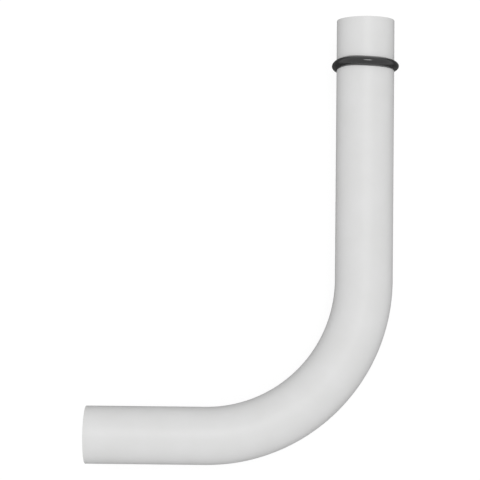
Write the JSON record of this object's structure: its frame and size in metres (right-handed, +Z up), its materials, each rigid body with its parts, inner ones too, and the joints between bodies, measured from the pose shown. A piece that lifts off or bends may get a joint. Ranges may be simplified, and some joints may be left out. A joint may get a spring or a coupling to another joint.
{
  "type": "flush pipe",
  "caption": "Round plastic flush pipe with a right-angle bend, a long cistern leg with a rubber sealing ring and a short pan leg, carrying flush water to a toilet pan.",
  "frame": {"origin": "under the middle of the part's bounding box, on the surface that it lies on", "axes": "+Z up, at right angles to the plane of the bend; +Y along the cistern leg, towards its open end; -X along the pan leg, towards its open end"},
  "size_m": [0.2422, 0.3486, 0.0524],
  "materials": {
    "pipe_plastic": "light grey plastic, satin",
    "ring_rubber": "black rubber, dull"
  },
  "bodies": {
    "root": {"flush_pipe": "pipe_plastic", "sealing_ring": "ring_rubber"}
  },
  "joints": []
}
